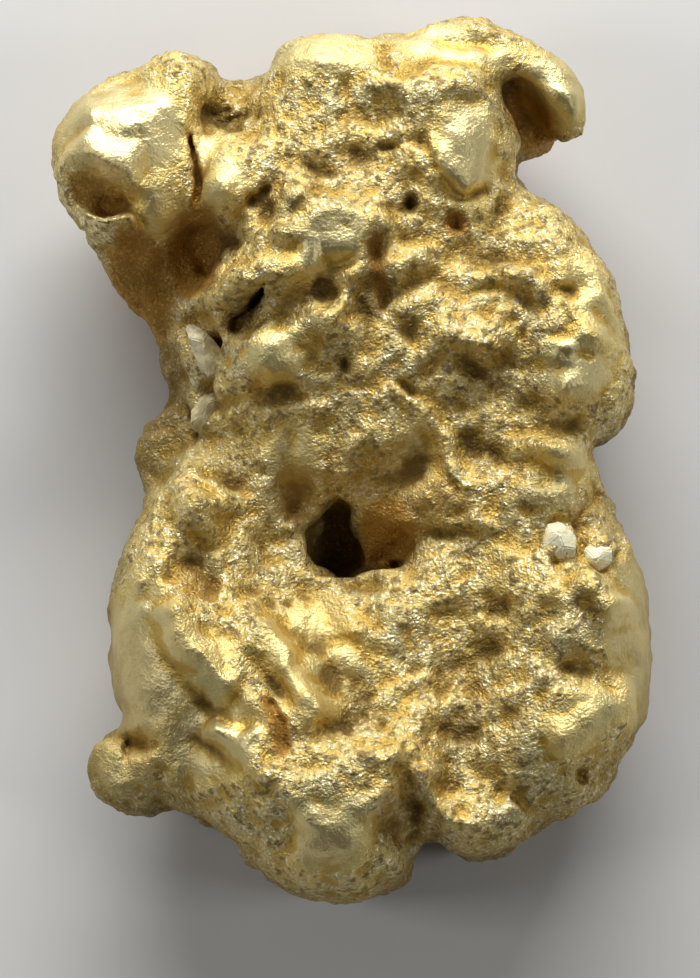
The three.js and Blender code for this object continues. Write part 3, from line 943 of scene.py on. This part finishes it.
set_attribute(skin, "rough", 1 - sampled(worn, corners_of(skin)))
print("corners with a roughness:", len(skin.vertices))

# %% [markdown]
# ## A grain on the skin
# The finest relief is smaller than a voxel, so a Geometry Nodes tree moves each corner along its
# normal by noise, more where the metal is rough. The same could be done by a Displace modifier, but
# the tree has named inputs, so the grain can be made coarser or finer without opening it. A small
# helper adds a node, sets it and wires its inputs, which keeps the tree short to read.

# %% The grain tree
NOISE_SPREAD = 4  # noise stays within about a quarter of its middle, so this makes it reach 1


def add_node(tree, kind, inputs=None, **settings):
    """A node with its settings made, and its inputs linked to sockets or set to values."""
    node = tree.nodes.new(kind)
    for name, value in settings.items():
        setattr(node, name, value)
    for name, given in (inputs or {}).items():
        if isinstance(given, bpy.types.NodeSocket):
            tree.links.new(given, node.inputs[name])
        else:
            node.inputs[name].default_value = given
    return node


def calc(tree, operation, a, b):
    return add_node(tree, "ShaderNodeMath", {0: a, 1: b}, operation=operation).outputs[0]


def grain_tree():
    tree = bpy.data.node_groups.new("surface_grain", "GeometryNodeTree")
    sizes = {"Rough height mm": 0.1, "Worn height mm": 0.02, "Grain per mm": 2.0}
    tree.interface.new_socket("Geometry", in_out="INPUT", socket_type="NodeSocketGeometry")
    for name, usual in sizes.items():
        tree.interface.new_socket(name, in_out="INPUT", socket_type="NodeSocketFloat").default_value = usual
    tree.interface.new_socket("Material", in_out="INPUT", socket_type="NodeSocketMaterial")
    tree.interface.new_socket("Geometry", in_out="OUTPUT", socket_type="NodeSocketGeometry")
    given = add_node(tree, "NodeGroupInput").outputs

    position = add_node(tree, "GeometryNodeInputPosition").outputs["Position"]
    per_metre = calc(tree, "MULTIPLY", given["Grain per mm"], 1 / MM)
    waves = {"Vector": position, "Scale": per_metre, "Detail": 2.0}
    noise = add_node(tree, "ShaderNodeTexNoise", waves).outputs["Fac"]
    rough_here = add_node(tree, "GeometryNodeInputNamedAttribute", {"Name": "rough"}, data_type="FLOAT")
    heights = {
        "Value": rough_here.outputs["Attribute"],
        "To Min": given["Worn height mm"],
        "To Max": given["Rough height mm"],
    }
    height = add_node(tree, "ShaderNodeMapRange", heights).outputs["Result"]
    tall = calc(tree, "MULTIPLY", calc(tree, "SUBTRACT", noise, 0.5), height)
    metres = calc(tree, "MULTIPLY", tall, NOISE_SPREAD * MM)
    normal = add_node(tree, "GeometryNodeInputNormal").outputs["Normal"]
    push = {"Vector": normal, "Scale": metres}
    offset = add_node(tree, "ShaderNodeVectorMath", push, operation="SCALE")

    move = {"Geometry": given["Geometry"], "Offset": offset.outputs["Vector"]}
    moved = add_node(tree, "GeometryNodeSetPosition", move).outputs["Geometry"]
    real = add_node(tree, "GeometryNodeRealizeInstances", {"Geometry": moved}).outputs["Geometry"]
    paint = {"Geometry": real, "Material": given["Material"]}
    coated = add_node(tree, "GeometryNodeSetMaterial", paint).outputs["Geometry"]
    add_node(tree, "NodeGroupOutput", {"Geometry": coated})
    return tree


GRAIN = grain_tree()
print("inputs of the grain tree:", [item.name for item in GRAIN.interface.items_tree])

# %% [markdown]
# ## Grow the grain and thin the mesh
# The tree is put on the nugget with its sizes, and a Decimate modifier after it brings the mesh
# under the number of triangles that still renders fast. The result is baked to a plain mesh.

# %% Grow, thin and bake
def add_tree(obj, tree, **values):
    """Puts the tree on the object and sets its named inputs."""
    modifier = obj.modifiers.new(tree.name, "NODES")
    modifier.node_group = tree
    for item in tree.interface.items_tree:
        if item.item_type == "SOCKET" and item.in_out == "INPUT" and item.name in values:
            modifier[item.identifier] = values[item.name]


def bake(obj):
    """Replaces the object's mesh by what its modifiers make of it, and drops them."""
    graph = bpy.context.evaluated_depsgraph_get()
    old, baked = obj.data, bpy.data.meshes.new_from_object(obj.evaluated_get(graph))
    obj.modifiers.clear()
    obj.data = baked
    bpy.data.meshes.remove(old)


MOST_TRIANGLES = 190_000
gold_material = bpy.data.materials.new("native_gold")
grain_sizes = {"Rough height mm": 0.08, "Worn height mm": 0.012, "Grain per mm": 2.0}
add_tree(nugget, GRAIN, Material=gold_material, **grain_sizes)
thinned = nugget.modifiers.new("thinned", "DECIMATE")
thinned.ratio = min(1.0, MOST_TRIANGLES / (2 * len(quads)))
bake(nugget)
skin = nugget.data
skin.shade_smooth()
print("triangles:", sum(len(face.vertices) - 2 for face in skin.polygons))

# %% [markdown]
# ## What the surface knows about itself
# Paint needs to know where it is. Four values are stored on the mesh: how far a corner sits in a fine
# crease, how deep in a wide hollow, how worn it is, and how much iron stain lies there, with painted shade
# in some places.
# Cycles could find creases while it renders, but stored values stay with the mesh. A blurred block gives
# them for nothing: in a hollow there is more gold around.

# %% Store crease, hollow, worn, and stain with painted shade
CREASE_SIZE, HOLLOW_SIZE = 0.35, 1.1  # mm
CONTRAST = 1.2
# Iron stain in some places; in others the same brown is painted shade, where the gold lies low under a lump
# or faces away from the light
STAIN_AND_SHADE_PLACES = [
    # x, y, half_x, half_y, turn, amount
    (-8.9, 11.2, 2.2, 3.0, 0, 0.9),
    (-9.0, 15.8, 0.6, 4.0, 0, 0.5),
    (-11.8, 9.4, 2.4, 4.2, 20, 0.75),
    (-14.2, 14.2, 2.6, 1.2, -14, 0.6),
    (1.5, 9.6, 0.8, 2.6, 0, 0.6),
    (2.2, -4.4, 2.2, 2.6, 0, 0.85),
    (4.6, -2.8, 2.6, 2.0, -10, 0.4),
    (-3.2, -2.2, 1.8, 2.8, 5, 0.4),
    (5.6, 12.3, 1.2, 0.9, 0, 0.7),
    (9.9, 19.0, 1.6, 2.8, 35, 0.7),
    (-7.4, 6.9, 1.0, 0.8, 0, 0.4),
    (-4.0, -15.6, 0.9, 2.6, 25, 0.7),
    (12.8, -3.0, 1.0, 2.6, -15, 0.4),
    (-11.8, -16.4, 1.2, 1.6, 0, 0.35),
    (2.2, -20.2, 1.4, 2.4, 0, 0.4),
    (-8.6, -7.4, 2.2, 1.6, 0, 0.4),
    (0.6, -1.4, 4.6, 2.6, 0, 0.35),
    (-12.0, -12.6, 2.6, 4.6, 0, 0.3),
    (-13.6, 15.0, 2.8, 1.6, -14, 0.4),
]

stain_and_shade = painted(STAIN_AND_SHADE_PLACES, softness=0.5)
where = corners_of(skin)
crease = -sampled(blurred(gold, CREASE_SIZE), where) / CREASE_SIZE
hollow = -sampled(blurred(gold, HOLLOW_SIZE), where) / HOLLOW_SIZE
set_attribute(skin, "crease", 0.5 + CONTRAST * crease)
set_attribute(skin, "hollow", 0.5 + CONTRAST * hollow)
set_attribute(skin, "worn", sampled(worn, where))
set_attribute(skin, "stain_and_shade", sampled(stain_and_shade, where))
for name, values in (("crease", crease), ("hollow", hollow)):
    print(name, "5% to 95%:", np.round(np.percentile(values, [5, 50, 95]), 3))

# %% [markdown]
# ## Short words for shader nodes
# A procedural finish is a sum of simple masks: a value mapped to a share, two colours mixed by it,
# a noise of a known size. Each gets a helper that adds the node and hands back its output, so that
# the finish below reads as a recipe. All patterns sit on the object's own coordinates.

# %% Helpers for masks, mixes and noise
def attribute(tree, name):
    return add_node(tree, "ShaderNodeAttribute", attribute_name=name).outputs["Fac"]


def mapped(tree, value, from_min, from_max, to_min=0.0, to_max=1.0):
    """A value taken smoothly from one range to another."""
    ends = {"From Min": from_min, "From Max": from_max, "To Min": to_min, "To Max": to_max}
    inputs = {"Value": value, **ends}
    return add_node(tree, "ShaderNodeMapRange", inputs, interpolation_type="SMOOTHSTEP").outputs["Result"]


def mixed(tree, share, a, b):
    """A mix of two colours, each a socket or three numbers."""
    a, b = ((*color, 1.0) if isinstance(color, tuple) else color for color in (a, b))
    node = add_node(tree, "ShaderNodeMix", data_type="RGBA")
    for socket, given in ((node.inputs[0], share), (node.inputs[6], a), (node.inputs[7], b)):
        if isinstance(given, bpy.types.NodeSocket):
            tree.links.new(given, socket)
        else:
            socket.default_value = given
    return node.outputs[2]


def own_coordinates(tree):
    return add_node(tree, "ShaderNodeTexCoord").outputs["Object"]


def noise_mm(tree, size_mm, detail=3.0):
    """Noise whose features are about size_mm across."""
    inputs = {"Vector": own_coordinates(tree), "Scale": 1 / (size_mm * MM), "Detail": detail}
    return add_node(tree, "ShaderNodeTexNoise", inputs).outputs["Fac"]


def crystals_mm(tree, size_mm):
    """A random value for each of many small cells, about size_mm across."""
    inputs = {"Vector": own_coordinates(tree), "Scale": 1 / (size_mm * MM)}
    cells = add_node(tree, "ShaderNodeTexVoronoi", inputs)
    split = add_node(tree, "ShaderNodeSeparateColor", {"Color": cells.outputs["Color"]})
    return split.outputs["Red"]


def height_mm(tree):
    """How high above the table a point lies."""
    split = add_node(tree, "ShaderNodeSeparateXYZ", {"Vector": own_coordinates(tree)})
    return calc(tree, "MULTIPLY", split.outputs["Z"], 1 / MM)


print("helpers for shader nodes are ready")

# %% [markdown]
# ## The finish of native gold
# Native gold is paler than pure gold because of the silver in it. The rubbed metal is a pale, slightly
# green satin; on rough metal single crystals flash and get a paler colour, a painted highlight. Creases get
# a deep yellow painted shade, and hollows, pits and the low sides a brown painted shade; iron stain turns
# some places brown, and the same brown paints shade in others. The node group holds these rules once and
# puts out a colour, a roughness and a height. The shader itself stays in the material.

# %% The group of gold colours
WORN_GOLD = (0.85, 0.73, 0.39)
ROUGH_GOLD = (0.83, 0.66, 0.25)
# paler colour on the crystals that flash: a painted highlight
PAINTED_GLINT_GOLD = (0.95, 0.86, 0.58)
GREEN_GOLD = (0.70, 0.61, 0.30)
# deeper, darker gold painted in creases: painted shade
CREASE_SHADE_GOLD = (0.68, 0.48, 0.13)
# brown painted shade in hollows, in the pits of rough metal and on the low sides
SHADE_BROWN = (0.25, 0.165, 0.05)
# brown of iron stain, also used as painted shade in some places
IRON_AND_SHADE = (0.50, 0.30, 0.075)
CRYSTAL_SIZE = 0.14  # mm
# the brown painted shade sets in below one height, is full below the other and reaches at most this share
UNSHADED_ABOVE, SHADED_BELOW, MOST_SHADE = 10.5, 5.0, 0.75  # mm, mm and a share
ROUGH_SATIN, WORN_SATIN = 0.6, 0.44  # roughness of the shader
MASKS = ("Crease", "Hollow", "Worn", "Stain_and_shade")


def gold_finish():
    tree = bpy.data.node_groups.new("gold_finish", "ShaderNodeTree")
    for name in MASKS:
        tree.interface.new_socket(name, in_out="INPUT", socket_type="NodeSocketFloat")
    outputs = {"Color": "NodeSocketColor", "Roughness": "NodeSocketFloat", "Height": "NodeSocketFloat"}
    for name, kind in outputs.items():
        tree.interface.new_socket(name, in_out="OUTPUT", socket_type=kind)
    given = tree.nodes.new("NodeGroupInput").outputs
    made = tree.nodes.new("NodeGroupOutput").inputs

    # Metal: worn or rough, with greener patches, and crystals that flash where it isn't worn; the crystals
    # also get a paler colour, a painted highlight
    patches = noise_mm(tree, 3.0)
    fine = noise_mm(tree, 0.35)
    sparkle = calc(tree, "SUBTRACT", crystals_mm(tree, CRYSTAL_SIZE), given["Worn"])
    sparkle = mapped(tree, sparkle, 0.7, 0.8)
    color = mixed(tree, given["Worn"], ROUGH_GOLD, WORN_GOLD)
    color = mixed(tree, mapped(tree, patches, 0.45, 0.7), color, GREEN_GOLD)
    # painted highlight: the flashing crystals get the paler colour
    color = mixed(tree, sparkle, color, PAINTED_GLINT_GOLD)

    # Painted shade: a deep colour in creases, then brown in hollows, in specks and low down; then iron
    # stain, which also paints shade in some places
    ragged = calc(tree, "MULTIPLY", fine, 0.3)
    # painted shade: creases get the deeper, darker gold
    deep = mapped(tree, calc(tree, "ADD", given["Crease"], ragged), 0.6, 0.95)
    color = mixed(tree, deep, color, CREASE_SHADE_GOLD)
    # painted shade: hollows turn brown
    painted_shade = mapped(tree, calc(tree, "ADD", given["Hollow"], ragged), 0.75, 1.15)
    # painted shade of the pits: brown specks where the metal isn't worn
    specks = calc(tree, "SUBTRACT", noise_mm(tree, 0.5, 4.0), given["Worn"])
    specks = mapped(tree, specks, 0.46, 0.66, 0.0, MOST_SHADE)
    # painted shade: darker towards the bottom
    low_down = mapped(tree, height_mm(tree), UNSHADED_ABOVE, SHADED_BELOW, 0.0, MOST_SHADE)
    painted_shade = calc(tree, "MAXIMUM", painted_shade, specks)
    painted_shade = calc(tree, "MAXIMUM", painted_shade, low_down)
    color = mixed(tree, painted_shade, color, SHADE_BROWN)
    # iron stain, and painted shade in some places
    stain_and_shade_share = calc(tree, "MULTIPLY", given["Stain_and_shade"], calc(tree, "ADD", fine, 0.5))
    stain_and_shade_share = mapped(tree, stain_and_shade_share, 0.15, 0.75)
    color = mixed(tree, stain_and_shade_share, color, IRON_AND_SHADE)
    tree.links.new(color, made["Color"])

    # Roughness: less on worn metal, least on a crystal, more under the brown painted shade and the stain
    satin = mapped(tree, given["Worn"], 0.0, 1.0, ROUGH_SATIN, WORN_SATIN)
    dull = calc(tree, "MULTIPLY", calc(tree, "MAXIMUM", painted_shade, stain_and_shade_share), 0.2)
    satin = calc(tree, "SUBTRACT", satin, calc(tree, "MULTIPLY", sparkle, 0.32))
    tree.links.new(calc(tree, "ADD", satin, dull), made["Roughness"])

    # Height: two sizes of grain, fading out on worn metal
    small = calc(tree, "MULTIPLY", noise_mm(tree, 0.16), 0.7)
    grain = calc(tree, "ADD", noise_mm(tree, 0.45, 4.0), small)
    grain = calc(tree, "MULTIPLY", grain, mapped(tree, given["Worn"], 0.0, 0.8, 1.0, 0.32))
    tree.links.new(grain, made["Height"])
    return tree


GOLD_FINISH = gold_finish()
print("nodes in the gold finish:", len(GOLD_FINISH.nodes))

# %% [markdown]
# ## The gold material
# Gold is a metal through and through, so Metallic is 1 and its colour tints what it mirrors. The
# group's height goes through a Bump node: it stands for grain too fine for the mesh.

# %% The gold material
def principled(material):
    material.use_nodes = True
    return next(n for n in material.node_tree.nodes if n.type == "BSDF_PRINCIPLED")


def bumped(tree, height, shader, distance_mm):
    """Bends the shader's normal by a height."""
    inputs = {"Height": height, "Distance": distance_mm * MM, "Strength": 1.0}
    bump = add_node(tree, "ShaderNodeBump", inputs)
    tree.links.new(bump.outputs["Normal"], shader.inputs["Normal"])


shader = principled(gold_material)
tree = gold_material.node_tree
finish = add_node(tree, "ShaderNodeGroup", node_tree=GOLD_FINISH)
for name in MASKS:
    tree.links.new(attribute(tree, name.lower()), finish.inputs[name])
tree.links.new(finish.outputs["Color"], shader.inputs["Base Color"])
tree.links.new(finish.outputs["Roughness"], shader.inputs["Roughness"])
shader.inputs["Metallic"].default_value = 1.0
bumped(tree, finish.outputs["Height"], shader, 0.22)

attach(nugget, "root")
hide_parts("gold_nugget")
print("gold on", nugget.name)

# %% [markdown]
# ## Quartz caught in the gold
# The nugget grew in a quartz vein, and bits of it are still held in the metal: two grains of milky
# quartz and two slivers of grey quartz. Quartz is a mineral and no metal, so its material is a
# plain cloudy white or grey with the refraction of quartz, and a faint bump for its broken skin.

# %% Quartz materials
def quartz_material(name, clear, cloudy, roughness):
    material = bpy.data.materials.new(name)
    shader = principled(material)
    tree = material.node_tree
    cloud = mapped(tree, noise_mm(tree, 0.5), 0.35, 0.65)
    tree.links.new(mixed(tree, cloud, clear, cloudy), shader.inputs["Base Color"])
    shader.inputs["Roughness"].default_value = roughness
    shader.inputs["IOR"].default_value = 1.54
    bumped(tree, noise_mm(tree, 0.25), shader, 0.06)
    return material


MILKY = quartz_material("milky_quartz", (0.88, 0.81, 0.50), (0.97, 0.93, 0.68), 0.3)
GREY = quartz_material("grey_quartz", (0.46, 0.38, 0.20), (0.74, 0.64, 0.36), 0.3)
print("quartz materials:", MILKY.name, GREY.name)

# %% [markdown]
# ## The broken grains
# Each grain is a broken bit with flat faces. Its corners come from the construction model, spread a
# little so that it meets the gold, and shaken at random so that no two faces match. A convex hull
# closes them, which suits quartz because it breaks without hollows, and a small bevel takes the
# sharpness off its edges.

# %% Quartz grains
FILL = 0.22  # mm by which a grain is larger than in the construction model
SHAKE = 0.1  # the share by which its corners move in and out
EDGE_WIDTH = 0.06  # mm


def quartz_piece(node, material, seed):
    """One grain, on the root body, in place of the construction node that it hides."""
    points, _ = merged_triangles(node)
    low, high = points.min(0), points.max(0)
    middle = (low + high) / 2
    rng = np.random.default_rng(seed)
    spread = points - middle
    spread *= 1 + FILL / ((high - low) / 2)
    spread *= 1 + SHAKE * rng.standard_normal((len(points), 1))
    mesh = bpy.data.meshes.new(node + "_stone")
    made = bmesh.new()
    for corner in (middle + spread) * MM:
        made.verts.new(corner)
    bmesh.ops.convex_hull(made, input=made.verts)
    loose = [v for v in made.verts if not v.link_faces]
    bmesh.ops.delete(made, geom=loose, context="VERTS")
    bmesh.ops.bevel(made, geom=made.edges, offset=EDGE_WIDTH * MM, segments=2, affect="EDGES")
    bmesh.ops.recalc_face_normals(made, faces=made.faces)
    made.to_mesh(mesh)
    made.free()
    mesh.materials.append(material)
    piece = bpy.data.objects.new(node + "_stone", mesh)
    bpy.context.scene.collection.objects.link(piece)
    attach(piece, "root")
    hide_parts(node)
    print(piece.name, "faces:", len(mesh.polygons))


for seed, name in enumerate(GRAINS, start=1):
    if name.startswith("quartz_grain"):
        quartz_piece(name, MILKY, seed)
    else:
        quartz_piece(name, GREY, seed)

# %% [markdown]
# ## The table
# The nugget lies on a plain pale table.

# %% Floor
TABLE_HALF = 1.5  # m
floor_mesh = bpy.data.meshes.new("floor")
corners = [(x * TABLE_HALF, y * TABLE_HALF, 0) for x, y in ((-1, -1), (1, -1), (1, 1), (-1, 1))]
floor_mesh.from_pydata(corners, [], [(0, 1, 2, 3)])
floor = bpy.data.objects.new("floor", floor_mesh)
bpy.context.scene.collection.objects.link(floor)
pale = bpy.data.materials.new("pale_table")
shader = principled(pale)
shader.inputs["Base Color"].default_value = (0.78, 0.77, 0.75, 1)
shader.inputs["Roughness"].default_value = 0.7
floor_mesh.materials.append(pale)
floor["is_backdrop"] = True
print("table:", 2 * TABLE_HALF, "m wide")

# %% [markdown]
# ## Lights and camera
# One large soft light beyond the upper end rakes down the relief, and two weak ones lift the
# shadows of both sides. A light straight above would show the colours as well, but no lumps. The
# camera looks almost straight down from far away, so that the nugget keeps its true outline.

# %% Lights and camera
def aimed(obj, place, target):
    """Puts a light or a camera in its place and turns it to the target."""
    obj.location = place
    obj.rotation_mode = "QUATERNION"
    obj.rotation_quaternion = (Vector(target) - Vector(place)).to_track_quat("-Z", "Y")
    bpy.context.scene.collection.objects.link(obj)
    obj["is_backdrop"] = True


def softbox(name, place, size, watts):
    light = bpy.data.lights.new(name, "AREA")
    light.shape = "RECTANGLE"
    light.size, light.size_y = size
    light.energy = watts
    aimed(bpy.data.objects.new(name, light), place, NUGGET_MIDDLE)


NUGGET_MIDDLE = (0, 0, 0.006)
softbox("key", (0, 0.30, 0.175), (0.40, 0.10), 1.72)
softbox("fill_left", (-0.27, -0.02, 0.24), (0.10, 0.10), 0.2)
softbox("fill_right", (0.27, -0.06, 0.24), (0.10, 0.10), 0.16)

world = bpy.data.worlds.new("studio")
world.use_nodes = True
background = world.node_tree.nodes["Background"]
background.inputs["Color"].default_value = (1.0, 0.97, 0.92, 1)
background.inputs["Strength"].default_value = 0.06
bpy.context.scene.world = world

CAMERA_DISTANCE = 0.300
CAMERA_ELEVATION = math.radians(82)
AIM = Vector((-0.00015, -0.0018, 0.007))
camera = bpy.data.cameras.new("camera")
camera.sensor_width = 36
camera.lens = 198.8
back = Vector((0, -math.cos(CAMERA_ELEVATION), math.sin(CAMERA_ELEVATION)))
camera_object = bpy.data.objects.new("camera", camera)
aimed(camera_object, AIM + back * CAMERA_DISTANCE, AIM)
bpy.context.scene.camera = camera_object
bpy.context.scene.view_settings.view_transform = "Standard"
print("camera:", camera.lens, "mm lens,", CAMERA_DISTANCE, "m away")

# %% [markdown]
# ## The sizes at the end
# The size of the finished object is written next to that of the construction model.

# %% Write the sizes
boxes = {"cad": cad_box, "visual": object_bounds()}
for name, (low, high) in boxes.items():
    print(name, [round((b - a) / MM, 2) for a, b in zip(low, high)], "mm")
